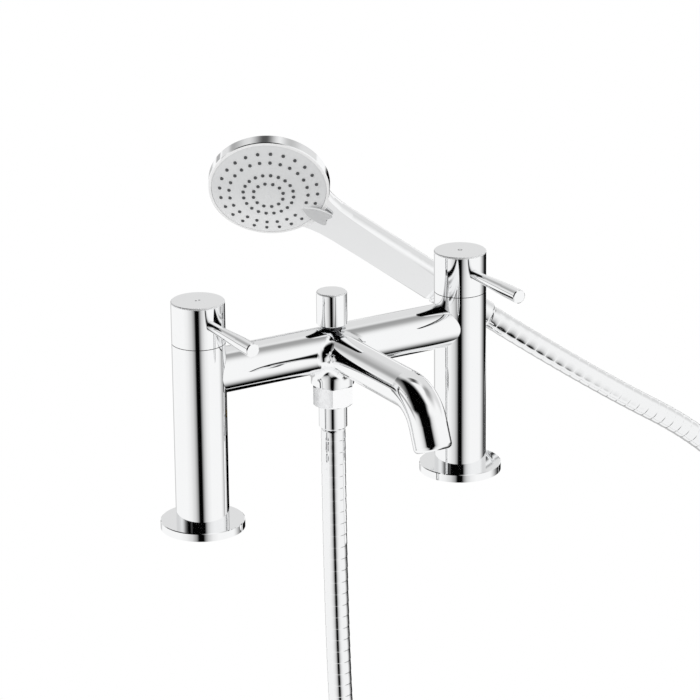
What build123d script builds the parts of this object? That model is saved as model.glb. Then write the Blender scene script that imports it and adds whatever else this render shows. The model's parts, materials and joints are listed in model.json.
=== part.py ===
from build123d import *
import math
import os

# Deck mounted bath shower mixer with hose, handset and handset holder.
# Sizes are millimetres and angles are degrees. Z is up, the deck is Z = 0,
# the spout and the levers point to -Y, the hot pillar stands on the -X side.

# Clearances
slip = 0.05
joint_gap = 0.3
seam_gap = 0.4

# Pillars and base
tap_centres = 180.0
pillar_dia = 31.7
pillar_top_z = 115.3
flange_dia = 50.2
flange_height = 4.9
flange_edge = 0.4
gasket_dia = 46.0
gasket_height = 1.6
tail_thread_dia = 26.4
tail_spigot_dia = 0.75 * pillar_dia
tail_spigot_length = 14.0
tail_bore_dia = 18.0
tail_drop = 55.0
tail_chamfer = 1.2
deck_thickness = 20.0
deck_washer_rim = 6.8
deck_washer_dia = tail_thread_dia + 2 * deck_washer_rim
deck_washer_height = 2.5
backnut_flats = 36.0
backnut_height = 8.0

# Valve cartridges
valve_seat_z = 85.0
valve_chamber_dia = 0.631 * pillar_dia
pillar_bore_dia = 0.536 * pillar_dia
valve_thread_dia = 0.757 * pillar_dia
disc_dia = 0.78 * valve_chamber_dia
disc_height = 3.0
seal_height = 2.4
seal_bore_dia = 0.58 * disc_dia
valve_cavity_dia = 0.81 * valve_chamber_dia
valve_cavity_top_z = 98.0
valve_skirt_z = 86.0
valve_hex_flats = 0.71 * valve_thread_dia
valve_hex_z = 112.8
valve_top_z = 117.0
valve_window_width = 0.45 * valve_chamber_dia
spindle_dia = 0.63 * disc_dia
spindle_foot_height = 3.0
spline_dia = 0.81 * spindle_dia
spline_top_z = 128.0

# Handle caps and levers
cap_top_z = 141.0
cap_roof = 3.0
cap_wall = 2.1
cap_edge = 0.5
boss_dia = 0.473 * pillar_dia
boss_bottom_z = 119.0
lever_z = 129.6
lever_tip_y = -65.6
lever_root_dia = 5.7
lever_waist_dia = 6.3
lever_tip_dia = 8.4
lever_edge = 0.5
lever_thread_dia = 4.8
lever_thread_end_y = -5.2
grub_dia = 4.0
grub_z = 123.5
grub_length = 0.3 * pillar_dia

# Bridge, hub and spout casting
bridge_z = 95.4
bridge_dia = 27.2
bridge_bore_dia = 13.0
spigot_dia = 0.625 * bridge_dia
spigot_cover = 0.5
spigot_reach = (pillar_dia - valve_chamber_dia) / 2 - 1.2
valve_thread_z = bridge_z + spigot_dia / 2 + spigot_cover
hub_dia = 26.0
hub_bottom_z = 73.5
hub_fillet = 7.0
hub_foot_round = 3.2
hub_chamber_dia = 17.6
hub_floor_z = 84.0
shower_port_dia = 11.0
nipple_dia = 20.9
nipple_end_z = 64.6
nipple_bore_dia = 15.0
nipple_bore_top_z = 77.0
spout_dia = 22.6
spout_bore_dia = 17.0
spout_reach = 114.5
spout_outlet_z = 66.1
spout_tip_angle = 22.2
spout_bend_radius = 24.0
aerator_dia = 19.0
aerator_length = 8.0
aerator_wall = 1.4
aerator_setback = 0.6
aerator_plate = 2.6
aerator_hole_dia = 1.8
aerator_hole_pitch = 3.2

# Diverter
knob_dia = 18.4
knob_bottom_z = 110.6
knob_top_z = 131.0
knob_round = 1.2
knob_recess_dia = 14.0
knob_recess_height = 2.4
guide_dia = 12.2
guide_top_z = 110.0
oring_height = 1.8
oring_dia = 9.2
stem_dia = 6.0
stem_bottom_z = 86.0
stem_shoulder_z = 114.0
stem_thread_dia = 5.0
stem_top_z = 126.0
piston_dia = 16.0
piston_height = 3.0
washer_dia = 15.0
lower_washer_height = 2.0
upper_washer_height = 1.5
diverter_lift = 8.0
lift_spare = 3.0
guide_bottom_z = stem_bottom_z + piston_height + upper_washer_height + diverter_lift + lift_spare

# Shower hose end at the mixer
hose_nut_flats = 23.4
hose_nut_top_z = 72.6
hose_nut_bottom_z = 60.3
nut_floor = 1.5
fitting_flange_dia = 19.4
fitting_flange_height = 1.2
fitting_neck_dia = 13.6
fitting_barrel_dia = 17.0
fitting_barrel_length = 14.6
fitting_bore_dia = 8.0
fitting_edge = 1.2
nut_hole_dia = 14.2
washer_bore_dia = 12.0
hose_dia = 14.8

# Handset. Its own axes are x from the head's middle to the handle, z the way it sprays.
head_centre = (47.9, 160.1, 145.3)
spray_direction = (-0.4935, -0.7594, -0.4240)
handle_direction = (0.8218, -0.2474, -0.5133)
head_dia = 77.2
head_wall = 2.0
head_side = 7.0
head_depth = 15.0
head_cavity_depth = 9.0
face_gap = 0.15
face_plate_depth = 3.5
face_dome = 6.3
mat_height = 1.2
mat_gap = 0.1
pivot_dia = 10.0
distributor_dia = head_dia - 11.2
distributor_holes = 6
distributor_hole_dia = 6.0
distributor_pitch_radius = 0.27 * distributor_dia
nozzle_dia = 2.1
nozzle_proud = 0.5
nozzle_ring_shares = (0.803, 0.648, 0.4145, 0.2487)
nozzle_ring_counts = (24, 24, 20, 12)
nozzle_ring_skips = (1, 1, 0, 0)
tab_top = 4.35
tab_underside = 2.5
tab_turn = 2.5
tab_start = -14.1
tab_outline = ((5.5, 3.2), (10.5, 4.6), (15.5, 5.1), (18.7, 4.9), (19.9, 3.9), (19.6, 2.6))
tab_notch = 17.6
handle_end_x = 130.0
handle_end_round = 3.0
handle_end_z = 9.8
handle_tilt = 8.0
handle_root_x = head_dia / 2 - 12.6
neck_widths = ((0.0, 40.0), (8.0, 33.0), (14.0, 28.6), (21.0, 25.6), (30.0, 24.6))
neck_facet_share = 0.8
root_facet = 24.0
root_width = 24.6
root_front = 3.6
root_depth = 15.0
end_inset = 1.0
end_facet = 18.0
end_width = 23.4
end_front = 7.3
end_depth = 18.8
water_bore_dia = 6.4
water_bore_end_x = head_dia / 2 - 7.6
water_bore_end_z = -6.6
inlet_length = 11.5
inlet_bore_dia = 12.0

# Conical nut at the handset
cone_length = 23.5
cone_big_dia = 24.4
cone_small_dia = 21.6
cone_edge = 0.6

# Handset holder
ring_start = 9.5
ring_end = 22.5
ring_dia = 29.2
ring_slot = 15.6
post_dia = 12.0
post_base_dia = 28.0
post_base_height = 4.0
post_gasket_height = 0.8
post_gasket_dia = 26.0
post_shoulder_z = 38.0
post_spigot_dia = 7.0
post_spigot_length = 9.0
ring_knuckle_dia = 13.0
holder_screw_dia = 4.0
holder_screw_length = 5.0
stud_dia = 8.0
stud_drop = 42.0
holder_nut_flats = 13.0
holder_nut_height = 6.5
holder_washer_dia = 20.0
holder_washer_height = 1.5

# Free hose, from the mixer's outlet to the handset
hose_drop_z = -105.0
hose_route = (
    (14.0, 4.0, -265.0),
    (78.0, 16.0, -385.0),
    (195.0, 36.0, -418.0),
    (312.0, 56.0, -365.0),
    (388.0, 70.0, -255.0),
    (402.0, 74.0, -140.0),
    (342.0, 74.0, -58.0),
)
hose_lead = 78.0
least_hose_radius = 5.0 * hose_dia
run_share = 0.45


def tube(outer_dia, inner_dia, low, high):
    """A plain ring about Z, or a solid disc where inner_dia is 0."""
    body = Pos(0, 0, low) * Cylinder(outer_dia / 2, high - low, align=(Align.CENTER, Align.CENTER, Align.MIN))
    if inner_dia > 0:
        body = body - Pos(0, 0, low) * Cylinder(
            inner_dia / 2, high - low, align=(Align.CENTER, Align.CENTER, Align.MIN)
        )
    return body


def hexagon(flats, low, high):
    """A hexagonal bar about Z, flats wide across its flats."""
    corner_radius = flats / math.sqrt(3)
    profile = Plane.XY.offset(low) * RegularPolygon(corner_radius, 6)
    return extrude(profile, amount=high - low)


def hexagon_nut(flats, bore_dia, low, high, ends=2):
    """A hexagonal nut with its corners turned down at its lower end, or at both ends."""
    bar = hexagon(flats, low, high)
    corner_dia = 2 * flats / math.sqrt(3)
    rims = tube(corner_dia, 0, low, high).edges().filter_by(GeomType.CIRCLE).sort_by(Axis.Z)[:ends]
    crown = chamfer(rims, (corner_dia - flats) / (1 + ends))
    return bar & crown - tube(bore_dia, 0, low, high)


def turned(points):
    """A solid of revolution about Z from a closed outline of (radius, height) points."""
    outline = make_face(Polyline([(radius, 0, height) for radius, height in points], close=True))
    return revolve(outline, axis=Axis.Z)


def cross_bar(dia, start, end, height):
    """A bar along Y, from start to end, at the given height."""
    return Pos(0, start, height) * Rot(90, 0, 0) * Cylinder(
        dia / 2, start - end, align=(Align.CENTER, Align.CENTER, Align.MIN)
    )


def side_bar(dia, start, end, height):
    """A bar along X, from start to end, at the given height."""
    return Pos(start, 0, height) * Rot(0, 90, 0) * Cylinder(
        dia / 2, end - start, align=(Align.CENTER, Align.CENTER, Align.MIN)
    )


def direction(values):
    return Vector(*values).normalized()


# Base of one pillar

def make_flange():
    disc = tube(flange_dia, 0, 0, flange_height)
    disc = chamfer(disc.edges().filter_by(GeomType.CIRCLE).sort_by(Axis.Z)[-1], flange_edge)
    disc -= tube(tail_thread_dia + 2 * joint_gap, 0, 0, flange_height)
    return disc - tube(gasket_dia + 2 * slip, 0, 0, gasket_height)


def make_tail():
    body = tube(tail_thread_dia, 0, -tail_drop, flange_height)
    body = chamfer(body.edges().filter_by(GeomType.CIRCLE).sort_by(Axis.Z)[0], tail_chamfer)
    body += tube(tail_spigot_dia, 0, flange_height, flange_height + tail_spigot_length)
    return body - tube(tail_bore_dia, 0, -tail_drop, flange_height + tail_spigot_length)


def make_pillar():
    """One pillar with its side port towards +X."""
    body = tube(pillar_dia, 0, flange_height, pillar_top_z)
    body -= tube(tail_spigot_dia + 2 * slip, 0, flange_height, flange_height + tail_spigot_length)
    body -= tube(pillar_bore_dia, 0, flange_height, valve_seat_z)
    body -= tube(valve_chamber_dia, 0, valve_seat_z, valve_thread_z)
    body -= tube(valve_thread_dia, 0, valve_thread_z, pillar_top_z)
    return body - side_bar(spigot_dia + 2 * slip, 0, pillar_dia, bridge_z)


# Valve cartridge

def make_cartridge():
    thread = valve_thread_dia - 2 * slip
    body = tube(valve_chamber_dia - 2 * slip, 0, valve_skirt_z, valve_thread_z)
    body += tube(thread, 0, valve_thread_z, valve_hex_z)
    body += hexagon(valve_hex_flats, valve_hex_z, valve_top_z)
    body -= tube(valve_cavity_dia, 0, valve_skirt_z, valve_cavity_top_z)
    body -= tube(spindle_dia + 2 * slip, 0, valve_cavity_top_z, valve_top_z)
    window_low = valve_seat_z + seal_height + disc_height + slip
    window = Box(
        2 * valve_chamber_dia,
        valve_window_width,
        valve_cavity_top_z - 1.0 - window_low,
        align=(Align.CENTER, Align.CENTER, Align.MIN),
    )
    return body - Pos(0, 0, window_low) * window


def make_ceramic_disc(low, turn):
    """A ceramic disc with two quarter openings."""
    disc = tube(disc_dia, 0, low, low + disc_height)
    near = 0.08 * disc_dia
    far = 0.42 * disc_dia
    opening = make_face(Polyline((near, near), (near, far), (far, near), close=True))
    for half in (0, 180):
        disc -= Rot(0, 0, turn + half) * extrude(Plane.XY.offset(low) * opening, amount=disc_height)
    return disc


def make_spindle():
    foot_low = valve_seat_z + seal_height + 2 * disc_height
    foot_high = foot_low + spindle_foot_height
    body = tube(disc_dia, 0, foot_low, foot_high)
    body += tube(spindle_dia, 0, foot_high, valve_top_z)
    return body + tube(spline_dia, 0, valve_top_z, spline_top_z)


# Handle

def make_cap():
    skirt_low = pillar_top_z + seam_gap
    body = tube(pillar_dia, 0, skirt_low, cap_top_z)
    body = chamfer(body.edges().filter_by(GeomType.CIRCLE).sort_by(Axis.Z)[-1], cap_edge)
    body -= tube(pillar_dia - 2 * cap_wall, boss_dia, skirt_low, cap_top_z - cap_roof)
    body -= tube(boss_dia, 0, skirt_low, boss_bottom_z)
    body -= tube(spline_dia + 2 * slip, 0, boss_bottom_z, spline_top_z + slip)
    body -= cross_bar(lever_root_dia + 2 * slip, -boss_dia / 2 - 1, -pillar_dia, lever_z)
    body -= cross_bar(lever_thread_dia + 2 * slip, lever_thread_end_y + slip, -pillar_dia, lever_z)
    return body - cross_bar(grub_dia + 2 * slip, pillar_dia, 0, grub_z)


def make_lever():
    """A rod that flares towards its tip, with a threaded root in the cap's boss."""
    root_y = -boss_dia / 2 - 1 - slip
    skin_y = -pillar_dia / 2
    outline = [
        (0, -lever_thread_end_y),
        (lever_thread_dia / 2, -lever_thread_end_y),
        (lever_thread_dia / 2, -root_y),
        (lever_root_dia / 2, -root_y),
        (lever_root_dia / 2, -skin_y),
        (lever_waist_dia / 2, -skin_y + 14),
        (lever_tip_dia / 2 - 0.2, -lever_tip_y - 16),
        (lever_tip_dia / 2, -lever_tip_y - lever_edge),
        (lever_tip_dia / 2 - lever_edge, -lever_tip_y),
        (0, -lever_tip_y),
    ]
    return Pos(0, 0, lever_z) * Rot(90, 0, 0) * turned(outline)


def make_grub():
    contact_y = spline_dia / 2 + slip
    return cross_bar(grub_dia, contact_y + grub_length, contact_y, grub_z)


# Bridge, hub and spout casting

def spout_tip_direction():
    angle = math.radians(spout_tip_angle)
    return Vector(0, -math.sin(angle), -math.cos(angle))


def spout_tip():
    return Vector(0, -spout_reach, spout_outlet_z)


def spout_path(extra):
    """The spout's centre line, lengthened at its tip by extra."""
    tip = spout_tip()
    out = spout_tip_direction()
    corner = tip - out * ((bridge_z - spout_outlet_z) / abs(out.Z))
    end = tip + out * extra
    return FilletPolyline((0, 0, bridge_z), corner, end, radius=spout_bend_radius)


def swept_round(dia, extra):
    start = Plane(origin=(0, 0, bridge_z), z_dir=(0, -1, 0))
    return sweep(start * Circle(dia / 2), path=spout_path(extra))


def in_hub(edge):
    box = edge.bounding_box()
    near = abs(box.min.X) < bridge_dia and abs(box.max.X) < bridge_dia
    return edge.geom_type != GeomType.LINE and near and box.min.Y > -spout_reach / 2 and box.min.Z > hub_bottom_z + 0.5


def make_bridge():
    half = tap_centres / 2
    outer = side_bar(bridge_dia, -half, half, bridge_z)
    outer += tube(hub_dia, 0, hub_bottom_z, bridge_z)
    outer += swept_round(spout_dia, 0)
    outer = outer.fillet(hub_fillet, [edge for edge in outer.edges() if in_hub(edge)])
    foot = outer.edges().filter_by(GeomType.CIRCLE).sort_by(Axis.Z)[0]
    outer = outer.fillet(hub_foot_round, [foot])
    for side in (-1, 1):
        outer -= Pos(side * half, 0, 0) * tube(pillar_dia + 2 * slip, 0, 0, cap_top_z)
    spigot_end = half - pillar_dia / 2 + spigot_reach
    outer += side_bar(spigot_dia, -spigot_end, spigot_end, bridge_z)
    outer += tube(nipple_dia, 0, nipple_end_z, hub_bottom_z + 1)
    outer -= side_bar(bridge_bore_dia, -half, half, bridge_z)
    outer -= swept_round(spout_bore_dia, 1)
    outer -= tube(hub_chamber_dia, 0, hub_floor_z, guide_bottom_z)
    outer -= tube(guide_dia + 2 * slip, 0, guide_bottom_z, cap_top_z)
    outer -= tube(shower_port_dia, 0, nipple_end_z, hub_floor_z)
    outer -= tube(nipple_bore_dia, 0, nipple_end_z, nipple_bore_top_z)
    pocket = Plane(origin=spout_tip(), z_dir=spout_tip_direction()) * tube(
        aerator_dia + 2 * slip, 0, -aerator_length - aerator_setback, 2
    )
    return outer - pocket


def make_aerator_housing():
    body = tube(aerator_dia, aerator_dia - 2 * aerator_wall, -aerator_length - aerator_setback, -aerator_setback)
    return Plane(origin=spout_tip(), z_dir=spout_tip_direction()) * body


def make_aerator_insert():
    """The flow straightener, a disc of small round holes set inside the housing."""
    plate_dia = aerator_dia - 2 * aerator_wall - 2 * slip
    low = -aerator_setback - aerator_plate - 1.0
    plate = tube(plate_dia, 0, low, low + aerator_plate)
    for row in range(-2, 3):
        count = 5 - abs(row)
        for step in range(count):
            across = (step - (count - 1) / 2) * aerator_hole_pitch
            along = row * aerator_hole_pitch * math.sin(math.radians(60))
            plate -= Pos(across, along, 0) * tube(aerator_hole_dia, 0, low, low + aerator_plate)
    return Plane(origin=spout_tip(), z_dir=spout_tip_direction()) * plate


# Diverter

def make_knob():
    body = tube(knob_dia, 0, knob_bottom_z, knob_top_z)
    body = fillet(body.edges().filter_by(GeomType.CIRCLE).sort_by(Axis.Z)[-1], knob_round)
    body = chamfer(body.edges().filter_by(GeomType.CIRCLE).sort_by(Axis.Z)[0], flange_edge)
    body -= tube(knob_recess_dia, 0, knob_bottom_z, knob_bottom_z + knob_recess_height)
    body -= tube(stem_dia + 2 * slip, 0, knob_bottom_z, stem_shoulder_z)
    return body - tube(stem_thread_dia + 2 * slip, 0, stem_shoulder_z, stem_top_z + slip)


def make_stem():
    body = tube(stem_dia, 0, stem_bottom_z - lower_washer_height + 0.4, stem_shoulder_z)
    return body + tube(stem_thread_dia, 0, stem_shoulder_z, stem_top_z)


def make_guide():
    body = tube(guide_dia, 0, guide_bottom_z, guide_top_z)
    body = chamfer(body.edges().filter_by(GeomType.CIRCLE).sort_by(Axis.Z)[-1], 0.5)
    body -= tube(stem_dia + 2 * slip, 0, guide_bottom_z, guide_top_z)
    return body - tube(oring_dia + 2 * slip, 0, guide_bottom_z, guide_bottom_z + oring_height)


def make_piston():
    return tube(piston_dia, stem_dia + 2 * slip, stem_bottom_z, stem_bottom_z + piston_height)


def make_diverter_washers():
    lower = tube(washer_dia, stem_dia + 2 * slip, stem_bottom_z - lower_washer_height, stem_bottom_z)
    top_low = stem_bottom_z + piston_height
    upper = tube(washer_dia, stem_dia + 2 * slip, top_low, top_low + upper_washer_height)
    return Compound([lower, upper])


def make_check_valve():
    """A small plastic check valve in the shower nipple: a sleeve, a seat and its poppet on a cross."""
    low = nipple_end_z + 0.4
    high = nipple_bore_top_z - 0.6
    sleeve = tube(nipple_bore_dia - 2 * slip, nipple_bore_dia - 3.0, low, high)
    bar_height = 2.0
    for turn in (0, 90):
        bar = Pos(0, 0, low) * Box(nipple_bore_dia - 2.0, 1.6, bar_height, align=(Align.CENTER, Align.CENTER, Align.MIN))
        sleeve += Rot(0, 0, turn) * bar
    sleeve += tube(3.0, 0, low, high - 4.0)
    return sleeve + tube(nipple_bore_dia - 5.0, 0, high - 5.0, high - 3.0)


# Hose end fittings, drawn with the face that meets its washer at Z = 0 and the hose below

def make_hose_fitting():
    flange = tube(fitting_flange_dia, 0, -fitting_flange_height, 0)
    neck_end = -fitting_flange_height - nut_floor - joint_gap
    neck = tube(fitting_neck_dia, 0, neck_end, -fitting_flange_height)
    barrel = tube(fitting_barrel_dia, 0, neck_end - fitting_barrel_length, neck_end)
    barrel = chamfer(barrel.edges().filter_by(GeomType.CIRCLE).sort_by(Axis.Z)[0], fitting_edge / 2)
    return flange + neck + barrel - tube(fitting_bore_dia, 0, neck_end - fitting_barrel_length, 0)


def fitting_length():
    return fitting_flange_height + nut_floor + joint_gap + fitting_barrel_length


def mixer_fitting_top_z():
    return hose_nut_bottom_z + nut_floor + fitting_flange_height


def make_hose_nut():
    nut = hexagon_nut(hose_nut_flats, nut_hole_dia, hose_nut_bottom_z, hose_nut_top_z, ends=1)
    return nut - tube(nipple_dia + 2 * slip, 0, hose_nut_bottom_z + nut_floor, hose_nut_top_z)


def make_mixer_hose_washer():
    return tube(fitting_flange_dia, washer_bore_dia, mixer_fitting_top_z(), nipple_end_z)


# Handset

def handset_plane():
    return Plane(origin=head_centre, x_dir=direction(handle_direction), z_dir=direction(spray_direction))


def inlet_axis():
    angle = math.radians(handle_tilt)
    return Vector(math.cos(angle), 0, math.sin(angle))


def handle_station(x_value):
    """The plane across the handle where its axis is at x_value, in the handset's own axes."""
    along = inlet_axis()
    height = handle_end_z - (handle_end_x - x_value) * math.tan(math.radians(handle_tilt))
    return Plane(origin=(x_value, 0, height), x_dir=(0, 1, 0), z_dir=along)


def handle_section(x_value, facet, width, front, depth):
    """A flat front, two short curved flanks and a round back."""
    low = front - depth
    flank = front - depth * 0.38
    shoulder = front - depth * 0.14
    right = ThreePointArc((facet / 2, front), (width / 2 - 0.25, shoulder), (width / 2, flank))
    back_right = ThreePointArc((width / 2, flank), (width * 0.36, low + depth * 0.18), (0, low))
    back_left = ThreePointArc((0, low), (-width * 0.36, low + depth * 0.18), (-width / 2, flank))
    left = ThreePointArc((-width / 2, flank), (-width / 2 + 0.25, shoulder), (-facet / 2, front))
    top = Line((-facet / 2, front), (facet / 2, front))
    return handle_station(x_value) * make_face([top, right, back_right, back_left, left])


def handle_place(x_value, width, inset=0.0):
    """The handle's section at x_value. Its facet, front and depth change evenly from root to end."""
    share = (x_value - handle_root_x) / (handle_end_x - handle_root_x)
    facet = root_facet + (end_facet - root_facet) * share
    front = root_front + (end_front - root_front) * share
    depth = root_depth + (end_depth - root_depth) * share
    facet += max(0.0, width - root_width) * neck_facet_share - inset
    return handle_section(x_value, facet, width - 2 * inset, front - inset, depth - 2 * inset)


def make_handset_body():
    radius = head_dia / 2
    shell = turned(
        [
            (0, -head_depth),
            (radius * 0.45, -head_depth + 0.6),
            (radius * 0.8, -head_depth + 2.6),
            (radius - 1.6, -head_side - 2.0),
            (radius, -head_side),
            (radius, -0.7),
            (radius - 0.5, -0.1),
            (radius - head_wall, 0.2),
            (0, 0.2),
        ]
    )
    sections = [handle_place(handle_root_x + reach, width) for reach, width in neck_widths]
    sections.append(handle_place(handle_end_x - handle_end_round, end_width))
    sections.append(handle_place(handle_end_x, end_width, end_inset))
    body = shell + loft(sections, ruled=True)
    body -= tube(2 * (radius - head_wall), 0, -head_cavity_depth, head_depth)
    end_plane = handle_station(handle_end_x)
    body += end_plane * tube(nipple_dia, 0, -1, inlet_length)
    body -= end_plane * tube(inlet_bore_dia, 0, -4, inlet_length)
    start = Vector(handle_end_x, 0, handle_end_z)
    stop = Vector(water_bore_end_x, 0, water_bore_end_z)
    channel = Plane(origin=start, z_dir=stop - start) * tube(water_bore_dia, 0, 0, (stop - start).length)
    return handset_plane() * (body - channel)


def nozzle_places():
    """The nozzles' places on the face. The tab hides none: its own ring places are left out."""
    places = []
    for share, count, skipped in zip(nozzle_ring_shares, nozzle_ring_counts, nozzle_ring_skips):
        ring_radius = share * head_dia / 2
        phase = 0.0 if skipped else 0.5
        for index in range(skipped, count):
            angle = math.radians(360 / count * (index + phase))
            places.append((ring_radius * math.cos(angle), ring_radius * math.sin(angle)))
    return places


def face_height(radius):
    """The height of the domed face above the rim at a radius."""
    edge = head_dia / 2 - head_wall - face_gap
    sphere_radius = (edge ** 2 + face_dome ** 2) / (2 * face_dome)
    return math.sqrt(sphere_radius ** 2 - radius ** 2) - (sphere_radius - face_dome)


def make_face_plate():
    edge = head_dia / 2 - head_wall - face_gap
    half = edge / 2
    outline = [
        Line((0, 0, -face_plate_depth), (edge, 0, -face_plate_depth)),
        Line((edge, 0, -face_plate_depth), (edge, 0, 0)),
        ThreePointArc((edge, 0, 0), (half, 0, face_height(half)), (0, 0, face_dome)),
        Line((0, 0, face_dome), (0, 0, -face_plate_depth)),
    ]
    plate = revolve(make_face(outline), axis=Axis.Z)
    start = head_dia / 2 + tab_start
    upper = [(start + along, half_width) for along, half_width in tab_outline]
    lower = [(x, -y) for x, y in reversed(upper)]
    corners = [(start, 0)] + upper + [(start + tab_notch, 0)] + lower
    tab_face = Rot(0, 0, tab_turn) * make_face(Polyline(*corners, close=True))
    tab = extrude(Plane.XY.offset(tab_underside) * tab_face, amount=tab_top - tab_underside)
    plate += tab
    plate += tube(pivot_dia, 0, -head_cavity_depth + slip, -face_plate_depth)
    holes = [
        Pos(x, y, 0) * tube(nozzle_dia + 2 * slip, 0, -face_plate_depth, head_depth) for x, y in nozzle_places()
    ]
    return handset_plane() * (plate - holes)


def make_nozzles():
    """A soft mat behind the face with one nozzle through each hole."""
    high = -face_plate_depth - slip
    low = -face_plate_depth - mat_height
    mat = tube(distributor_dia + 1, pivot_dia + 2 * slip, low, high)
    pins = []
    for x, y in nozzle_places():
        top = face_height(math.hypot(x, y)) + nozzle_proud
        pins.append(Pos(x, y, 0) * tube(nozzle_dia, 0, low, top))
    return handset_plane() * (mat + pins)


def make_distributor():
    high = -face_plate_depth - mat_height - mat_gap
    disc = tube(distributor_dia, pivot_dia + 2 * slip, -head_cavity_depth, high)
    for index in range(distributor_holes):
        turn = Rot(0, 0, 360 / distributor_holes * (index + 0.5))
        disc -= turn * Pos(distributor_pitch_radius, 0, 0) * tube(distributor_hole_dia, 0, -head_cavity_depth, high)
    return handset_plane() * disc


def inlet_plane():
    """At the handle's end, with Z along the hose and away from the handset, in the mixer's axes."""
    frame = handset_plane()
    origin = frame.from_local_coords(Vector(handle_end_x, 0, handle_end_z))
    tip = frame.from_local_coords(Vector(handle_end_x, 0, handle_end_z) + inlet_axis())
    return Plane(origin=origin, x_dir=frame.y_dir, z_dir=tip - origin)


def cone_diameter(station):
    return cone_big_dia + (cone_small_dia - cone_big_dia) * station / cone_length


def make_cone_nut():
    body = turned(
        [
            (0, joint_gap),
            (cone_big_dia / 2 - cone_edge, joint_gap),
            (cone_big_dia / 2, joint_gap + cone_edge),
            (cone_small_dia / 2, cone_length - cone_edge),
            (cone_small_dia / 2 - cone_edge, cone_length),
            (0, cone_length),
        ]
    )
    floor = cone_length - nut_floor
    body -= tube(nipple_dia + 2 * slip, 0, 0, inlet_length + 1.5)
    body -= tube(fitting_flange_dia + 4 * slip, 0, inlet_length, floor)
    body -= tube(nut_hole_dia, 0, floor - 1, cone_length)
    return inlet_plane() * body


def handset_fitting_station():
    """How far along the inlet axis the hose fitting's flange face lies."""
    return cone_length - nut_floor - fitting_flange_height


def make_handset_fitting():
    fitting = Rot(180, 0, 0) * make_hose_fitting()
    return inlet_plane() * (Pos(0, 0, handset_fitting_station()) * fitting)


def make_handset_washer():
    """A long sealing sleeve between the handset's inlet and the hose fitting."""
    return inlet_plane() * tube(fitting_flange_dia, washer_bore_dia, inlet_length, handset_fitting_station())


# Handset holder

def holder_axis():
    middle = inlet_plane().from_local_coords(Vector(0, 0, (ring_start + ring_end) / 2))
    return middle


def make_holder_post():
    base = tube(post_base_dia, 0, post_gasket_height, post_gasket_height + post_base_height)
    base = chamfer(base.edges().filter_by(GeomType.CIRCLE).sort_by(Axis.Z)[-1], flange_edge)
    body = base + tube(post_dia, 0, post_base_height, post_shoulder_z)
    body += tube(post_spigot_dia, 0, post_shoulder_z, post_shoulder_z + post_spigot_length)
    body += tube(stud_dia, 0, -stud_drop, post_gasket_height)
    middle = holder_axis()
    return Pos(middle.X, middle.Y, 0) * body


def make_holder_ring():
    """A tapered socket with a slot for the hose, on a knuckle that turns on the post."""
    middle = holder_axis()
    frame = inlet_plane()
    knuckle = Pos(middle.X, middle.Y, 0) * tube(ring_knuckle_dia, 0, post_shoulder_z, middle.Z)
    ring = frame * tube(ring_dia, 0, ring_start, ring_end)
    body = knuckle + ring
    wide = cone_diameter(ring_start) / 2 + slip
    narrow = cone_diameter(ring_end) / 2 + slip
    taper = (wide - narrow) / (ring_end - ring_start)
    over = 12.0
    bore = turned(
        [
            (0, ring_start - over),
            (wide + taper * over, ring_start - over),
            (narrow - taper * over, ring_end + over),
            (0, ring_end + over),
        ]
    )
    body -= frame * bore
    up = Vector(0, 0, 1)
    across = frame.z_dir.cross(up).normalized()
    rise = across.cross(frame.z_dir).normalized()
    slot_plane = Plane(origin=middle, x_dir=across, z_dir=rise)
    slot = Box(ring_slot, 2 * over + ring_end, ring_dia, align=(Align.CENTER, Align.CENTER, Align.MIN))
    body -= slot_plane * slot
    spigot_hole = tube(post_spigot_dia + 2 * slip, 0, 0, post_shoulder_z + post_spigot_length + slip)
    body -= Pos(middle.X, middle.Y, 0) * spigot_hole
    screw_z = post_shoulder_z + holder_screw_dia
    screw_hole = cross_bar(holder_screw_dia + 2 * slip, ring_knuckle_dia, 0, screw_z)
    return body - Pos(middle.X, middle.Y, 0) * screw_hole


def make_holder_screw():
    middle = holder_axis()
    contact = post_spigot_dia / 2 + slip
    screw_z = post_shoulder_z + holder_screw_dia
    return Pos(middle.X, middle.Y, 0) * cross_bar(holder_screw_dia, contact + holder_screw_length, contact, screw_z)


def make_holder_gasket():
    middle = holder_axis()
    return Pos(middle.X, middle.Y, 0) * tube(post_gasket_dia, stud_dia + 2 * joint_gap, 0, post_gasket_height)


def make_holder_washer():
    middle = holder_axis()
    high = -deck_thickness
    ring = tube(holder_washer_dia, stud_dia + 2 * joint_gap, high - holder_washer_height, high)
    return Pos(middle.X, middle.Y, 0) * ring


def make_holder_nut():
    middle = holder_axis()
    high = -deck_thickness - holder_washer_height
    nut = hexagon_nut(holder_nut_flats, stud_dia + 2 * slip, high - holder_nut_height, high)
    return Pos(middle.X, middle.Y, 0) * nut


# Free hose

def hose_points():
    start = Vector(0, 0, mixer_fitting_top_z() - fitting_length())
    station = handset_fitting_station() + fitting_length()
    frame = inlet_plane()
    end = frame.from_local_coords(Vector(0, 0, station))
    lead = frame.from_local_coords(Vector(0, 0, station + hose_lead))
    route = [Vector(*point) for point in hose_route]
    return [start, Vector(0, 0, hose_drop_z)] + route + [lead, end]


def corner_radii(points):
    """The largest arc that each corner's two runs allow."""
    radii = []
    for before, corner, after in zip(points, points[1:], points[2:]):
        run_in = corner - before
        run_out = after - corner
        turn = math.radians(run_in.get_angle(run_out))
        radii.append(run_share * min(run_in.length, run_out.length) / math.tan(turn / 2))
    return radii


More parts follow.
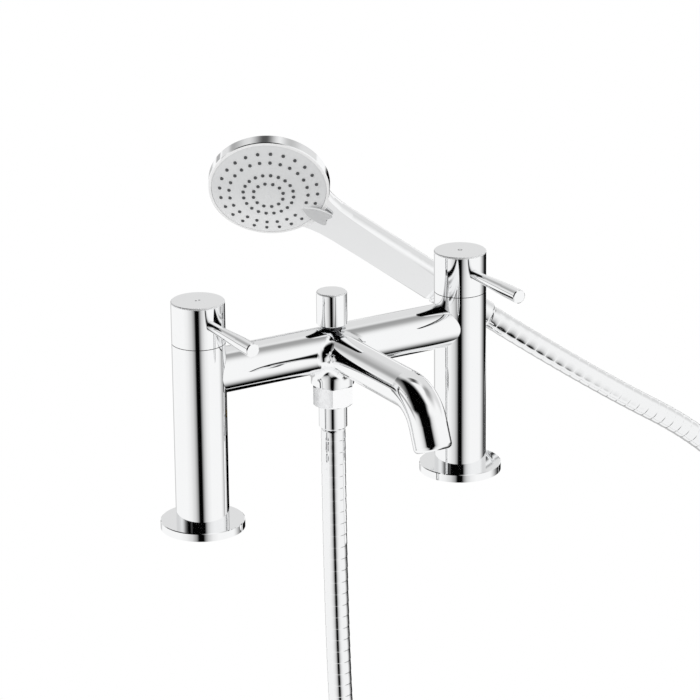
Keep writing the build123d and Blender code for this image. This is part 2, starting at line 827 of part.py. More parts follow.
def make_hose():
    points = hose_points()
    radii = corner_radii(points)
    path = FilletPolyline(*points, radius=radii)
    start = Plane(origin=points[0], z_dir=points[1] - points[0])
    hose = sweep(start * Circle(hose_dia / 2), path=path)
    section = math.pi * hose_dia ** 2 / 4
    print("hose length", round(path.length, 1), "volume ratio", round(hose.volume / (section * path.length), 4))
    print("hose radii", [round(radius, 1) for radius in radii], "least allowed", least_hose_radius)
    print("hose route", [tuple(round(value, 2) for value in point) for point in points])
    return hose


def save(name, shape):
    export_step(shape, f"parts/{name}.step")
    solids = shape.solids()
    print(f"{name:22s} solids {len(solids):3d} volume {sum(solid.volume for solid in solids):10.1f}")


def main():
    os.makedirs("parts", exist_ok=True)
    disc_low = valve_seat_z + seal_height
    for side, x_place in (("hot", -tap_centres / 2), ("cold", tap_centres / 2)):
        place = Pos(x_place, 0, 0)
        facing = Rot(0, 0, 0) if side == "hot" else Rot(0, 0, 180)
        washer_low = -deck_thickness - deck_washer_height
        save(f"{side}_pillar", place * facing * make_pillar())
        save(f"{side}_flange", place * make_flange())
        save(f"{side}_gasket", place * tube(gasket_dia, tail_thread_dia + 2 * joint_gap, 0, gasket_height))
        save(f"{side}_tail", place * make_tail())
        save(f"{side}_deck_washer", place * tube(deck_washer_dia, tail_thread_dia + 2 * joint_gap, washer_low, -deck_thickness))
        backnut = hexagon_nut(backnut_flats, tail_thread_dia + 2 * slip, washer_low - backnut_height, washer_low)
        save(f"{side}_backnut", place * backnut)
        save(f"{side}_cartridge", place * facing * make_cartridge())
        save(f"{side}_seat_seal", place * tube(disc_dia, seal_bore_dia, valve_seat_z, disc_low))
        save(f"{side}_fixed_disc", place * make_ceramic_disc(disc_low, 0))
        save(f"{side}_turning_disc", place * make_ceramic_disc(disc_low + disc_height, 90))
        save(f"{side}_spindle", place * make_spindle())
        save(f"{side}_cap", place * make_cap())
        save(f"{side}_lever", place * make_lever())
        save(f"{side}_grub_screw", place * make_grub())
    save("bridge_spout", make_bridge())
    save("aerator_housing", make_aerator_housing())
    save("aerator_insert", make_aerator_insert())
    save("diverter_knob", make_knob())
    save("diverter_stem", make_stem())
    save("diverter_guide", make_guide())
    save("diverter_oring", tube(oring_dia, stem_dia + 2 * slip, guide_bottom_z, guide_bottom_z + oring_height))
    save("diverter_piston", make_piston())
    save("diverter_washers", make_diverter_washers())
    save("check_valve", make_check_valve())
    save("hose_nut", make_hose_nut())
    save("hose_washer", make_mixer_hose_washer())
    save("hose_ferrule", Pos(0, 0, mixer_fitting_top_z()) * make_hose_fitting())
    save("hose", make_hose())
    save("handset_ferrule", make_handset_fitting())
    save("handset_nut", make_cone_nut())
    save("handset_washer", make_handset_washer())
    save("handset_body", make_handset_body())
    save("handset_face", make_face_plate())
    save("handset_nozzles", make_nozzles())
    save("handset_distributor", make_distributor())
    save("holder_post", make_holder_post())
    save("holder_ring", make_holder_ring())
    save("holder_screw", make_holder_screw())
    save("holder_gasket", make_holder_gasket())
    save("holder_washer", make_holder_washer())
    save("holder_nut", make_holder_nut())


main()
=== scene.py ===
import json
import math

import bpy
from mathutils import Matrix, Vector


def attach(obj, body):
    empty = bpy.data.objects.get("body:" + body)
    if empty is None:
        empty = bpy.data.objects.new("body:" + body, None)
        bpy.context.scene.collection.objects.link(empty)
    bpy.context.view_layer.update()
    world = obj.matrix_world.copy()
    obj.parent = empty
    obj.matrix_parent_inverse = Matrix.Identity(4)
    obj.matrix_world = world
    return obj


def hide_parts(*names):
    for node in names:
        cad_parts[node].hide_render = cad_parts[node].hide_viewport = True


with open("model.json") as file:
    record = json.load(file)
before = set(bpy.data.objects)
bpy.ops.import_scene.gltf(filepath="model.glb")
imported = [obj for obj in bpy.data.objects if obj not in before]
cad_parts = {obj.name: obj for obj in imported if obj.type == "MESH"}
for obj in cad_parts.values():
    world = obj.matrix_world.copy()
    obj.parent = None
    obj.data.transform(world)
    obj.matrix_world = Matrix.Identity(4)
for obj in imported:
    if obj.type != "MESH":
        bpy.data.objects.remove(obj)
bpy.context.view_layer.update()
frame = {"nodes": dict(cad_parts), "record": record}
nodes = frame["nodes"]

# Half the distance between the tap centres, the one size that the picture's scale rests on
TAP_X = 0.09

# Camera, worked out from the photograph with the tap centres as the known distance
CAMERA_PLACE = Vector((-1.0457, -1.8003, 0.8228))
CAMERA_RIGHT = Vector((0.8462, -0.5329, 0.0))
CAMERA_UP = Vector((0.1737, 0.2758, 0.9454))
CAMERA_VIEW = Vector((0.5038, 0.7999, -0.3260))
FOCAL_PIXELS = 3700.0
AXIS_PIXEL = (457.345, 331.551)
FRAME_PIXELS = 700
SENSOR_MM = 36.0
CLIP = (0.1, 20.0)


def make_camera():
    """A camera aimed at the frame's middle, so that it needs no shift."""
    aim = CAMERA_VIEW * FOCAL_PIXELS
    aim += CAMERA_RIGHT * (FRAME_PIXELS / 2 - AXIS_PIXEL[0])
    aim += CAMERA_UP * (AXIS_PIXEL[1] - FRAME_PIXELS / 2)
    turn = CAMERA_VIEW.rotation_difference(aim.normalized()).to_matrix()
    axes = Matrix((CAMERA_RIGHT, CAMERA_UP, -CAMERA_VIEW)).transposed()
    data = bpy.data.cameras.new("camera")
    data.sensor_width = SENSOR_MM
    data.lens = FOCAL_PIXELS * SENSOR_MM / FRAME_PIXELS
    data.clip_start, data.clip_end = CLIP
    camera = bpy.data.objects.new("camera", data)
    camera.matrix_world = Matrix.Translation(CAMERA_PLACE) @ (turn @ axes).to_4x4()
    bpy.context.collection.objects.link(camera)
    bpy.context.scene.camera = camera


make_camera()
scene = bpy.context.scene
scene.view_settings.view_transform = "Standard"


# Node helpers

class Graph:
    """Short calls for a material's or the world's nodes."""

    def __init__(self, tree, clear=True):
        self.tree = tree
        if clear:
            tree.nodes.clear()

    def add(self, kind, **values):
        node = self.tree.nodes.new(kind)
        for name, value in values.items():
            setattr(node, name, value)
        return node

    def link(self, source, target):
        self.tree.links.new(source, target)

    def put(self, socket, value):
        if isinstance(value, bpy.types.NodeSocket):
            self.link(value, socket)
        else:
            socket.default_value = value

    def split(self, vector):
        """The x, y and z of a vector."""
        node = self.add("ShaderNodeSeparateXYZ")
        self.put(node.inputs[0], vector)
        return node.outputs[0], node.outputs[1], node.outputs[2]

    def math(self, operation, first, second=0.0):
        node = self.add("ShaderNodeMath", operation=operation)
        self.put(node.inputs[0], first)
        self.put(node.inputs[1], second)
        return node.outputs[0]

    def vector(self, operation, first, second=(0.0, 0.0, 0.0)):
        node = self.add("ShaderNodeVectorMath", operation=operation)
        self.put(node.inputs[0], first)
        self.put(node.inputs[1], second)
        is_number = operation in ("DOT_PRODUCT", "LENGTH")
        return node.outputs["Value" if is_number else "Vector"]

    def ramp(self, value, stops):
        """A number that goes in a straight line from each (place, number) stop to the next."""
        node = self.add("ShaderNodeValToRGB")
        node.color_ramp.interpolation = "LINEAR"
        elements = node.color_ramp.elements
        while len(elements) > 1:
            elements.remove(elements[-1])
        for index, (place, shade) in enumerate(stops):
            element = elements[0] if index == 0 else elements.new(place)
            element.position = place
            element.color = (shade, shade, shade, 1.0)
        self.put(node.inputs[0], value)
        return node.outputs["Color"]

    def noise(self, vector, scale, detail=3.0, roughness=0.5):
        node = self.add("ShaderNodeTexNoise")
        self.put(node.inputs["Vector"], vector)
        node.inputs["Scale"].default_value = scale
        node.inputs["Detail"].default_value = detail
        node.inputs["Roughness"].default_value = roughness
        return node.outputs["Fac"]

    def mix(self, share, first, second):
        """The first colour where share is 0 and the second where it is 1."""
        node = self.add("ShaderNodeMix", data_type="RGBA")
        self.put(node.inputs["Factor"], share)
        for socket, colour in (("A", first), ("B", second)):
            self.put(node.inputs[socket], (*colour, 1.0) if isinstance(colour, tuple) else colour)
        return node.outputs["Result"]

    def span(self, value, low, high, at_low, at_high, smooth=False):
        """A number that goes from at_low to at_high while value goes from low to high."""
        node = self.add("ShaderNodeMapRange")
        node.clamp = True
        node.interpolation_type = "SMOOTHSTEP" if smooth else "LINEAR"
        self.put(node.inputs["Value"], value)
        node.inputs["From Min"].default_value = low
        node.inputs["From Max"].default_value = high
        node.inputs["To Min"].default_value = at_low
        node.inputs["To Max"].default_value = at_high
        return node.outputs["Result"]

    def window(self, value, stops):
        """0 before the first stop, 1 from the second to the third, and 0 again after the fourth."""
        rise = self.span(value, stops[0], stops[1], 0.0, 1.0, smooth=True)
        fall = self.span(value, stops[2], stops[3], 1.0, 0.0, smooth=True)
        return self.math("MULTIPLY", rise, fall)

    def blend_value(self, share, first, second):
        """The first number where share is 0 and the second where it is 1."""
        kept = self.math("MULTIPLY", first, self.math("SUBTRACT", 1.0, share))
        return self.math("ADD", kept, self.math("MULTIPLY", second, share))

    def darken(self, light, share, dark):
        """The light as it is where share is 0, and dimmed by dark where share is 1."""
        left = self.math("SUBTRACT", 1.0, self.math("MULTIPLY", share, dark))
        return self.math("MULTIPLY", light, left)

    def bump(self, height, strength, distance):
        node = self.add("ShaderNodeBump")
        node.inputs["Strength"].default_value = strength
        node.inputs["Distance"].default_value = distance
        self.put(node.inputs["Height"], height)
        return node.outputs["Normal"]


def new_material(name):
    material = bpy.data.materials.new(name)
    material.use_nodes = True
    graph = Graph(material.node_tree)
    shader = graph.add("ShaderNodeBsdfPrincipled")
    output = graph.add("ShaderNodeOutputMaterial")
    graph.link(shader.outputs[0], output.inputs["Surface"])
    place = graph.add("ShaderNodeTexCoord").outputs["Object"]
    return material, graph, shader, place


def open_material(material):
    """The graph, shader and place of a finished material, to add to it."""
    graph = Graph(material.node_tree, clear=False)
    shader = next(node for node in material.node_tree.nodes if node.type == "BSDF_PRINCIPLED")
    place = graph.add("ShaderNodeTexCoord").outputs["Object"]
    return graph, shader, place


def paint_over(graph, shader, share, colour):
    """Lay a colour over the present one where share is 1."""
    base = shader.inputs["Base Color"]
    graph.link(graph.mix(share, base.links[0].from_socket, colour), base)


# World: white to the camera, with dark studio bands that only reflections see

# Turn is measured round from the camera and rise from the horizon, both in degrees.
CAMERA_AZIMUTH = math.atan2(-CAMERA_VIEW.y, -CAMERA_VIEW.x)
FULL_TURN = 360.0
WORLD_FILL = 0.80
# The dark gap behind the camera. Its core widens from the rise that the pillars mirror
# to the rise that the spout's end mirrors, and its soft sides keep their width.
PILLAR_RISE = -19.0
SPOUT_RISE = 19.0
GAP_WIDENING = 2.2
# How far the core's left and right sides move out for a widening of 1
GAP_CORE = (-15.0, 3.5)
# The rise where the gap starts, is full, stops being full and is gone
GAP_REACH = (-62.0, -50.0, 30.0, 48.0)
# Turn and brightness across the gap
GAP_STOPS = (
    (-62.0, 1.0),
    (-43.0, 0.92),
    (-25.0, 0.70),
    (-13.5, 0.34),
    (-8.0, 0.001),
    (6.0, 0.001),
    (11.0, 0.30),
    (19.0, 0.66),
    (31.0, 0.90),
    (47.0, 1.0),
)
# Dark cards. Each has how dark it is, then where it starts, is full, stops being full and is gone,
# first in turn and then in rise. A stop past 180 or -180 keeps a card full up to the turn's end.
CARDS = {
    "right_edge": (1.0, (92.0, 138.0, 181.0, 182.0), (-70.0, -62.0, -10.0, -4.0)),
    "left_edge": (0.45, (-182.0, -181.0, -160.0, -138.0), (-70.0, -62.0, -10.0, -4.0)),
    "floor_right": (1.0, (56.0, 100.0, 181.0, 182.0), (-72.0, -66.0, -52.0, -26.0)),
    "left_horizon": (0.55, (-182.0, -181.0, -80.0, -60.0), (-1.0, 1.5, 6.5, 9.0)),
    "ceiling_line_right": (0.60, (58.0, 106.0, 124.0, 152.0), (32.0, 57.0, 64.0, 74.0)),
    "ceiling_line_left": (0.45, (-165.0, -140.0, -90.0, -60.0), (20.0, 29.0, 31.0, 42.0)),
    "ceiling_right": (0.22, (100.0, 125.0, 181.0, 182.0), (9.0, 13.0, 50.0, 70.0)),
    "ceiling_left": (0.22, (-182.0, -181.0, -125.0, -100.0), (9.0, 13.0, 50.0, 70.0)),
}
# Two dark forms over the camera: the gap, which goes on over the zenith and narrows to a point
# at the left, and a small patch that the side of the handset's head mirrors. Each has how dark
# it is, its stops sideways, its stops from the horizon behind the camera up and over, and how
# far its left and right sides lean over the lean's span. All are degrees.
OVERHEAD = {
    "gap": (1.0, (-86.0, -54.0, 3.0, 24.0), (20.0, 34.0, 126.0, 138.0), (-18.0, 50.0)),
    "patch": (0.90, (-26.0, -7.0, -4.0, 15.0), (105.0, 110.0, 119.0, 124.0), (0.0, 0.0)),
}
LEAN_SPAN = (60.0, 125.0)


def hang_gap(graph, turn, rise):
    """The light that the gap behind the camera leaves."""
    widen = graph.span(rise, PILLAR_RISE, SPOUT_RISE, 0.0, GAP_WIDENING)
    left_core = graph.math("MULTIPLY", widen, GAP_CORE[0])
    right_core = graph.math("MULTIPLY", widen, GAP_CORE[1])
    inner = graph.math("MAXIMUM", graph.math("MINIMUM", turn, right_core), left_core)
    narrowed = graph.math("SUBTRACT", turn, inner)
    share = graph.math("ADD", graph.math("DIVIDE", narrowed, FULL_TURN), 0.5)
    stops = [(place / FULL_TURN + 0.5, shade) for place, shade in GAP_STOPS]
    gap_dark = graph.math("SUBTRACT", 1.0, graph.ramp(share, stops))
    in_rise = graph.window(rise, GAP_REACH)
    return graph.math("SUBTRACT", 1.0, graph.math("MULTIPLY", gap_dark, in_rise))


def hang_cards(graph, light, turn, rise):
    """The light that the cards leave."""
    for dark, turn_window, rise_window in CARDS.values():
        in_turn = graph.window(turn, turn_window)
        in_rise = graph.window(rise, rise_window)
        light = graph.darken(light, graph.math("MULTIPLY", in_turn, in_rise), dark)
    return light


def hang_overhead(graph, light, sideways, over):
    """The light that the forms over the camera leave."""
    for dark, side_window, over_window, leans in OVERHEAD.values():
        left_place = graph.math("ADD", sideways, graph.span(over, *LEAN_SPAN, 0.0, leans[0]))
        right_place = graph.math("ADD", sideways, graph.span(over, *LEAN_SPAN, 0.0, leans[1]))
        left_side = graph.span(left_place, *side_window[:2], 0.0, 1.0, smooth=True)
        right_side = graph.span(right_place, *side_window[2:], 1.0, 0.0, smooth=True)
        between = graph.math("MULTIPLY", left_side, right_side)
        inside = graph.math("MULTIPLY", between, graph.window(over, over_window))
        light = graph.darken(light, inside, dark)
    return light


def make_world():
    """White where the camera looks, even light on matt surfaces, and the studio in reflections."""
    world = bpy.data.worlds.new("studio")
    scene.world = world
    world.use_nodes = True
    graph = Graph(world.node_tree)
    x, y, z = graph.split(graph.add("ShaderNodeTexCoord").outputs["Generated"])
    cos_a, sin_a = math.cos(CAMERA_AZIMUTH), math.sin(CAMERA_AZIMUTH)
    ahead = graph.math("ADD", graph.math("MULTIPLY", x, cos_a), graph.math("MULTIPLY", y, sin_a))
    across = graph.math("SUBTRACT", graph.math("MULTIPLY", y, cos_a), graph.math("MULTIPLY", x, sin_a))
    turn = graph.math("DEGREES", graph.math("ARCTAN2", across, ahead))
    rise = graph.math("DEGREES", graph.math("ARCSINE", z))
    light = hang_cards(graph, hang_gap(graph, turn, rise), turn, rise)
    sideways = graph.math("DEGREES", graph.math("ARCSINE", across))
    over = graph.math("DEGREES", graph.math("ARCTAN2", z, ahead))
    light = hang_overhead(graph, light, sideways, over)
    rays = graph.add("ShaderNodeLightPath")
    seen = graph.blend_value(rays.outputs["Is Glossy Ray"], WORLD_FILL, light)
    seen = graph.math("MAXIMUM", seen, rays.outputs["Is Camera Ray"])
    background = graph.add("ShaderNodeBackground")
    graph.link(seen, background.inputs["Color"])
    background.inputs["Strength"].default_value = 1.0
    output = graph.add("ShaderNodeOutputWorld")
    graph.link(background.outputs[0], output.inputs["Surface"])


make_world()


# Lamp, with its angles in degrees

LAMP_ENERGY = 0.55
LAMP_SOFTNESS = 25.0
LAMP_TURN = (42.0, -8.0, -38.0)


def make_lamp():
    """A soft key from the upper left that shapes the grey face and the rubber."""
    data = bpy.data.lights.new("key", "SUN")
    data.energy = LAMP_ENERGY
    data.angle = math.radians(LAMP_SOFTNESS)
    lamp = bpy.data.objects.new("key", data)
    lamp.visible_glossy = False
    lamp.rotation_euler = [math.radians(turn) for turn in LAMP_TURN]
    bpy.context.collection.objects.link(lamp)


make_lamp()


# Meshes

def circle(sides):
    """The cosine and sine at each of a circle's even steps."""
    angles = [2 * math.pi * step / sides for step in range(sides)]
    return [(math.cos(angle), math.sin(angle)) for angle in angles]


def tube_faces(rings, sides):
    """The faces of a closed tube whose vertices are rings of so many sides."""
    faces = []
    for ring in range(rings - 1):
        for step in range(sides):
            a = ring * sides + step
            b = ring * sides + (step + 1) % sides
            faces.append((a, b, b + sides, a + sides))
    faces.append(tuple(reversed(range(sides))))
    faces.append(tuple(range((rings - 1) * sides, rings * sides)))
    return faces


def mesh_object(name, vertices, faces, smooth=True):
    mesh = bpy.data.meshes.new(name)
    mesh.from_pydata([tuple(v) for v in vertices], [], faces)
    mesh.update()
    if smooth:
        mesh.polygons.foreach_set("use_smooth", [True] * len(mesh.polygons))
    obj = bpy.data.objects.new(name, mesh)
    bpy.context.collection.objects.link(obj)
    return obj


# Hose: the points of the solid's route in metres, here the control points of one smooth line

HOSE_ROUTE = (
    (0.0, 0.0, 0.0454),
    (0.0, 0.0, -0.105),
    (0.014, 0.004, -0.265),
    (0.078, 0.016, -0.385),
    (0.195, 0.036, -0.418),
    (0.312, 0.056, -0.365),
    (0.388, 0.070, -0.255),
    (0.402, 0.074, -0.140),
    (0.342, 0.074, -0.058),
    (0.23662, 0.07967, 0.00838),
    (0.17850, 0.10703, 0.05263),
)
# The usual length of such a hose. The line itself is 1.228 m long.
HOSE_SIDES = 40
LINE_STEPS = 48
RIB_PITCH = 0.0077
# One rib: the share of its pitch and the radius there. It widens slowly and ends in a short lip.
RIB_PROFILE = (
    (0.0, 0.007247),
    (0.30, 0.007307),
    (0.60, 0.007370),
    (0.91, 0.007430),
    (0.93, 0.007408),
    (0.98, 0.007268),
)


def smooth_line(name, route):
    """Points along a NURBS spline through the route's control points."""
    data = bpy.data.curves.new(name, "CURVE")
    data.dimensions = "3D"
    data.resolution_u = LINE_STEPS
    spline = data.splines.new("NURBS")
    spline.points.add(len(route) - 1)
    for point, place in zip(spline.points, route):
        point.co = (*place, 1.0)
    spline.order_u = 3
    spline.use_endpoint_u = True
    curve = bpy.data.objects.new(name, data)
    bpy.context.collection.objects.link(curve)
    bpy.context.view_layer.update()
    line = bpy.data.meshes.new_from_object(curve)
    points = [vertex.co.copy() for vertex in line.vertices]
    bpy.data.objects.remove(curve)
    bpy.data.meshes.remove(line)
    return points


def along(points, distances):
    """(place, direction) on a line of points at each of the rising distances from its start."""
    runs = [b - a for a, b in zip(points, points[1:])]
    found = []
    index, done = 0, 0.0
    for distance in distances:
        while index < len(runs) - 1 and done + runs[index].length < distance:
            done += runs[index].length
            index += 1
        run = runs[index]
        found.append((points[index] + run * ((distance - done) / run.length), run.normalized()))
    return found


def line_length(points):
    return sum((b - a).length for a, b in zip(points, points[1:]))


def rib_stations(total):
    """(distance, radius) of every ring. The ribs' lips face down on both sides of the loop."""
    count = round(total / RIB_PITCH)
    pitch = total / count
    stations = []
    for rib in range(count):
        if rib < count // 2:
            shares = RIB_PROFILE
        else:
            shares = [(1 - share, radius) for share, radius in reversed(RIB_PROFILE)]
        stations += [((rib + share) * pitch, radius) for share, radius in shares]
    return stations


def make_hose():
    points = smooth_line("hose_line", HOSE_ROUTE)
    stations = rib_stations(line_length(points))
    places = along(points, [distance for distance, _ in stations])
    side = Vector((1.0, 0.0, 0.0))
    vertices = []
    for (place, ahead), (_, radius) in zip(places, stations):
        side = (side - ahead * side.dot(ahead)).normalized()
        other = ahead.cross(side)
        vertices += [place + (side * cos + other * sin) * radius for cos, sin in circle(HOSE_SIDES)]
    hose = mesh_object("shower_hose", vertices, tube_faces(len(stations), HOSE_SIDES))
    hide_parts("hose")
    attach(hose, "mixer")
    return hose


hose = make_hose()


# Materials. A gloss has two places in the noise and the roughness there, which for chrome and
# for matt surfaces is a share of the piece's own roughness.

CHROME_TINT = (0.93, 0.935, 0.94)
CHROME_DULL = 0.975
CHROME_GLOSS = ((0.3, 0.7), (0.7, 1.4))
CLOUD_SCALE = 60.0
PEEL_SCALE = 90.0
PEEL_STRENGTH = 0.05


def chrome(name, tint=CHROME_TINT, rough=0.035, grain=420.0, depth=0.00002):
    """Polished plating with a faint unevenness of its gloss and a trace of orange peel."""
    material, graph, shader, place = new_material(name)
    cloud = graph.noise(place, CLOUD_SCALE, detail=4.0, roughness=0.6)
    shader.inputs["Metallic"].default_value = 1.0
    low = tuple(value * CHROME_DULL for value in tint)
    graph.link(graph.mix(cloud, low, tint), shader.inputs["Base Color"])
    gloss_stops = [(place, rough * share) for place, share in CHROME_GLOSS]
    gloss = graph.ramp(graph.noise(place, grain, detail=2.0), gloss_stops)
    graph.link(gloss, shader.inputs["Roughness"])
    peel = graph.noise(place, PEEL_SCALE, detail=2.0)
    graph.link(graph.bump(peel, PEEL_STRENGTH, depth), shader.inputs["Normal"])
    return material


LATHE_PITCH = 0.0004
BRASS_LOW = (0.50, 0.34, 0.12)
BRASS_HIGH = (0.76, 0.58, 0.27)
BRASS_GLOSS = ((0.3, 0.22), (0.75, 0.42))


def brass(name):
    """Turned brass with fine rings from the lathe and a few dull patches."""
    material, graph, shader, place = new_material(name)
    _, _, height = graph.split(place)
    rings = graph.math("SINE", graph.math("MULTIPLY", height, 2 * math.pi / LATHE_PITCH))
    dull = graph.noise(place, scale=130.0, detail=5.0, roughness=0.65)
    shader.inputs["Metallic"].default_value = 1.0
    graph.link(graph.mix(dull, BRASS_LOW, BRASS_HIGH), shader.inputs["Base Color"])
    graph.link(graph.ramp(dull, BRASS_GLOSS), shader.inputs["Roughness"])
    graph.link(graph.bump(rings, strength=0.2, distance=0.00003), shader.inputs["Normal"])
    return material


MATT_CLOUD_SCALE = 35.0
MATT_STRENGTH = 0.25
MATT_GLOSS = ((0.25, 0.85), (0.75, 1.15))


def soft_matt(name, low, high, rough, grain=300.0, depth=0.00006):
    """Rubber, plastic or ceramic with a fine moulded or lapped surface."""
    material, graph, shader, place = new_material(name)
    speck = graph.noise(place, grain, detail=4.0, roughness=0.6)
    cloud = graph.noise(place, MATT_CLOUD_SCALE)
    graph.link(graph.mix(cloud, low, high), shader.inputs["Base Color"])
    gloss_stops = [(place, rough * share) for place, share in MATT_GLOSS]
    graph.link(graph.ramp(speck, gloss_stops), shader.inputs["Roughness"])
    graph.link(graph.bump(speck, MATT_STRENGTH, depth), shader.inputs["Normal"])
    return material


CAP_TOP = 0.141
MARK_RADIUS = 0.0011
MARK_LINE = 0.00032
DOT_SPACING = 0.0011
DOT_RADIUS = 0.0007
MARK_COLOUR = (0.10, 0.10, 0.105)
# Reach of the edge from the middle of the top
CAP_EDGE = 0.01585
KNOB_EDGE = 0.0092
# How far inside that reach, and how far below the top, the satin starts and is full
EDGE_INSIDE = (0.0006, 0.0004)
EDGE_BELOW = (0.0012, 0.0009)
EDGE_ROUGHNESS = 0.6


def soften_edge(graph, shader, place, top, reach):
    """A satin edge round a turned top, where the polishing wheel has rounded it."""
    away = graph.vector("LENGTH", graph.vector("SUBTRACT", place, top))
    inside = [reach - inset for inset in EDGE_INSIDE]
    on_edge = graph.span(away, *inside, 0.0, 1.0)
    _, _, height = graph.split(place)
    below = [top[2] - drop for drop in EDGE_BELOW]
    near_top = graph.span(height, *below, 0.0, 1.0)
    share = graph.math("MULTIPLY", on_edge, near_top)
    gloss = shader.inputs["Roughness"].links[0].from_socket
    graph.link(graph.blend_value(share, gloss, EDGE_ROUGHNESS), shader.inputs["Roughness"])


def marked_chrome(name, cap_x, ring):
    """The caps' plating, with a small engraved ring or pair of dots in the middle of the top."""
    material = chrome(name)
    graph, shader, place = open_material(material)
    top = (cap_x, 0.0, CAP_TOP)
    local = graph.vector("SUBTRACT", place, top)
    if ring:
        away = graph.vector("LENGTH", local)
        off = graph.math("ABSOLUTE", graph.math("SUBTRACT", away, MARK_RADIUS))
        mark = graph.math("LESS_THAN", off, MARK_LINE)
    else:
        dots = []
        for side in (-1, 1):
            from_dot = graph.vector("SUBTRACT", local, (side * DOT_SPACING, 0.0, 0.0))
            away = graph.vector("LENGTH", from_dot)
            dots.append(graph.math("LESS_THAN", away, DOT_RADIUS))
        mark = graph.math("MAXIMUM", dots[0], dots[1])
    paint_over(graph, shader, mark, MARK_COLOUR)
    soften_edge(graph, shader, place, top, CAP_EDGE)
    return material


def knob_chrome():
    """The diverter knob's plating, with the same satin edge as the caps."""
    material = chrome("knob_chrome")
    graph, shader, place = open_material(material)
    top = max(vertex.co.z for vertex in nodes["diverter_knob"].data.vertices)
    soften_edge(graph, shader, place, (0.0, 0.0, top), KNOB_EDGE)
    return material


# The handset as in the solids: the middle of its head, the way it sprays and the way to its handle
HEAD_CENTRE = (0.0479, 0.1601, 0.1453)
SPRAY = tuple(Vector((-0.4935, -0.7594, -0.4240)).normalized())
HANDLE = tuple(Vector((0.8218, -0.2474, -0.5133)).normalized())
FACE_DARKER = (0.75, 0.757, 0.762)
FACE_LIGHTER = (0.795, 0.80, 0.805)
FACE_GLOSS = ((0.3, 0.34), (0.7, 0.46))
FACE_SPECULAR = 0.35
# Painted light: the face's colour is lighter at its low side, standing for light from below. The span
# is from the middle of the head, straight up.
LOW_SIDE_PAINTED_LIGHT = (0.95, 0.955, 0.96)
PAINTED_LIGHT_SPAN = (-0.030, 0.006)
# The tab is what rises above its level in front of the head's middle, from its start outward
TAB_COLOUR = (0.64, 0.645, 0.65)
TAB_LEVEL = 0.0040
TAB_START = 0.0235


def face_grey():
    """The satin grey face, with painted light that makes its low side lighter, and darker where the
    raised tab is.
    """
    material, graph, shader, place = new_material("spray_face_grey")
    local = graph.vector("SUBTRACT", place, HEAD_CENTRE)
    high = graph.vector("DOT_PRODUCT", local, SPRAY)
    out = graph.vector("DOT_PRODUCT", local, HANDLE)
    raised = graph.math("GREATER_THAN", high, TAB_LEVEL)
    on_tab = graph.math("MULTIPLY", raised, graph.math("GREATER_THAN", out, TAB_START))
    cloud = graph.noise(place, scale=45.0)
    speck = graph.noise(place, scale=900.0, detail=2.0)
    plain = graph.mix(cloud, FACE_DARKER, FACE_LIGHTER)
    _, _, height = graph.split(local)
    # Painted light: the colour grows lighter towards the face's low side
    painted_light_share = graph.span(height, *PAINTED_LIGHT_SPAN, 1.0, 0.0, smooth=True)
    painted_lit = graph.mix(painted_light_share, plain, LOW_SIDE_PAINTED_LIGHT)
    graph.link(graph.mix(on_tab, painted_lit, TAB_COLOUR), shader.inputs["Base Color"])
    graph.link(graph.ramp(speck, FACE_GLOSS), shader.inputs["Roughness"])
    graph.link(graph.bump(speck, strength=0.12, distance=0.00003), shader.inputs["Normal"])
    shader.inputs["Specular IOR Level"].default_value = FACE_SPECULAR
    return material


# The lip is what lies above its level on the shell, within its reach from the head's middle
LIP_REACH = 0.0391
LIP_LEVEL = -0.00025
LIP_PAINTED_HIGHLIGHT = (0.96, 0.96, 0.96)


def plated_shell():
    """The handset's plating, with a painted highlight on the narrow lip that frames the face: the lip
    is matt white in place of plating.
    """
    tint = (0.94, 0.945, 0.95)
    material = chrome("plated_plastic", tint, rough=0.05, grain=260.0, depth=0.00003)
    graph, shader, place = open_material(material)
    local = graph.vector("SUBTRACT", place, HEAD_CENTRE)
    high = graph.vector("DOT_PRODUCT", local, SPRAY)
    away = graph.vector("LENGTH", local)
    near_rim = graph.math("LESS_THAN", away, LIP_REACH)
    lip_highlight = graph.math("MULTIPLY", graph.math("GREATER_THAN", high, LIP_LEVEL), near_rim)
    # Painted highlight: the lip is laid over in matt white and loses its metal, standing for a bright
    # reflection
    paint_over(graph, shader, lip_highlight, LIP_PAINTED_HIGHLIGHT)
    graph.link(graph.math("SUBTRACT", 1.0, lip_highlight), shader.inputs["Metallic"])
    return material


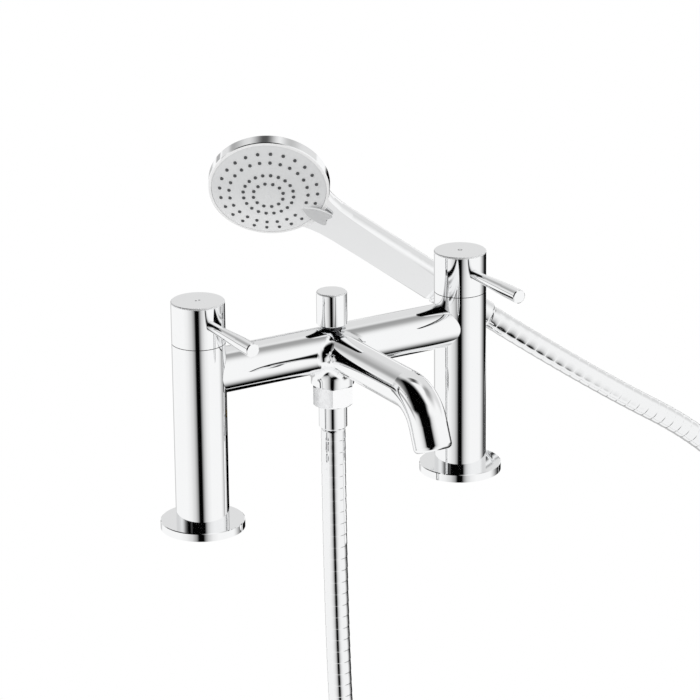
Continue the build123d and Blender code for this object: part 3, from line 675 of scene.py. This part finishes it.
CHROME = chrome("polished_chrome")
PALE_CHROME = chrome("nut_chrome", (0.975, 0.975, 0.98), rough=0.13, depth=0.000004)
PLATED = plated_shell()
# Painted shade: a near-black plating for the neck and the stem under the knob, standing for the knob's
# shadow and the dark it mirrors
NECK_PAINTED_SHADE = chrome("neck_painted_shade", (0.07, 0.07, 0.075), rough=0.18)
HOSE_STEEL = chrome("hose_strip", (0.90, 0.905, 0.91), rough=0.07, grain=700.0)
BRASS = brass("turned_brass")
STEEL = chrome("plain_steel", (0.60, 0.60, 0.61), rough=0.25, grain=500.0)
RUBBER = soft_matt("black_rubber", (0.018, 0.018, 0.019), (0.035, 0.035, 0.036), rough=0.65)
CERAMIC = soft_matt(
    "lapped_ceramic", (0.83, 0.81, 0.76), (0.90, 0.89, 0.85), rough=0.22, grain=600.0, depth=0.00001
)
WHITE_PLASTIC = soft_matt("white_plastic", (0.74, 0.74, 0.72), (0.82, 0.82, 0.80), rough=0.45)
NOZZLE = soft_matt("nozzle_silicone", (0.045, 0.047, 0.05), (0.075, 0.077, 0.08), rough=0.5)
FACE = face_grey()

LOOKS = {
    "chrome": CHROME,
    "brass": BRASS,
    "black_rubber": RUBBER,
    "ceramic_disc": CERAMIC,
    "stainless_steel": STEEL,
    "hose_steel": HOSE_STEEL,
    "chromed_plastic": PLATED,
    "grey_face": FACE,
    "nozzle_rubber": NOZZLE,
    "white_plastic": WHITE_PLASTIC,
}
for part in frame["record"]["subparts"]:
    mesh = nodes[part["node"]].data
    mesh.materials.clear()
    mesh.materials.append(LOOKS[part["material_slot"]])
# The photograph shows the nut pale and the neck under the knob dark
nodes["hose_nut"].data.materials[0] = PALE_CHROME
# Painted shade on the neck and the stem under the knob
nodes["diverter_guide"].data.materials[0] = NECK_PAINTED_SHADE
nodes["diverter_stem"].data.materials[0] = NECK_PAINTED_SHADE
nodes["diverter_knob"].data.materials[0] = knob_chrome()
nodes["hot_cap"].data.materials[0] = marked_chrome("hot_cap_chrome", -TAP_X, ring=False)
nodes["cold_cap"].data.materials[0] = marked_chrome("cold_cap_chrome", TAP_X, ring=True)
hose.data.materials.append(HOSE_STEEL)


# White blocks that stand for the deck, where the photograph shows nothing below the flanges

BLOCK_RADIUS = 0.0245
BLOCK_LEVELS = (-0.0565, -0.0004)
BLOCK_SIDES = 64


def make_block(name, x_place):
    vertices = []
    for level in BLOCK_LEVELS:
        for cos, sin in circle(BLOCK_SIDES):
            vertices.append((x_place + BLOCK_RADIUS * cos, BLOCK_RADIUS * sin, level))
    faces = tube_faces(len(BLOCK_LEVELS), BLOCK_SIDES)
    block = mesh_object(name, vertices, faces, smooth=False)
    material = bpy.data.materials.new(name)
    material.use_nodes = True
    graph = Graph(material.node_tree)
    glow = graph.add("ShaderNodeEmission")
    glow.inputs["Strength"].default_value = 1.0
    output = graph.add("ShaderNodeOutputMaterial")
    graph.link(glow.outputs[0], output.inputs["Surface"])
    block.data.materials.append(material)


make_block("deck_block_left", -TAP_X)
make_block("deck_block_right", TAP_X)
